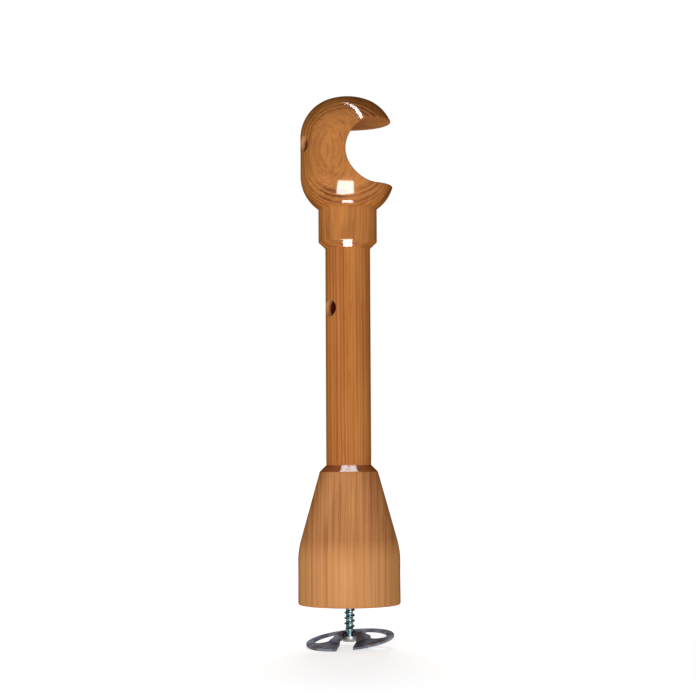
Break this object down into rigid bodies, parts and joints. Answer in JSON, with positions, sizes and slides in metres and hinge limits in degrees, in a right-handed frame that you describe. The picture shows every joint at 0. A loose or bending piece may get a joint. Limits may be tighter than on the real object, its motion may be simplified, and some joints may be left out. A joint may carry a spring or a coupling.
{
  "type": "curtain pole bracket",
  "caption": "Turned wooden bracket for a curtain pole: a long ball with an open pole socket on a stem, a bell-shaped base, and a keyhole wall plate loose on the base's hanger screw.",
  "frame": {"origin": "centre of the base's back face, the ring that meets the wall, on the stem's axis", "axes": "+Z out of the wall along the stem towards the ball, +X the way the pole socket opens (up in use), Y along the pole"},
  "size_m": [0.0476, 0.0476, 0.2574],
  "materials": {
    "head_wood": "stained and lacquered, satin",
    "stem_wood": "stained and lacquered, satin",
    "base_wood": "stained and lacquered, satin",
    "screw_zinc": "blue zinc plated",
    "plate_zinc": "dark zinc plated"
  },
  "bodies": {
    "root": {"ball_head": "head_wood", "stem": "stem_wood", "bell_base": "base_wood", "hanger_screw": "screw_zinc", "wall_plate": "plate_zinc"}
  },
  "joints": []
}
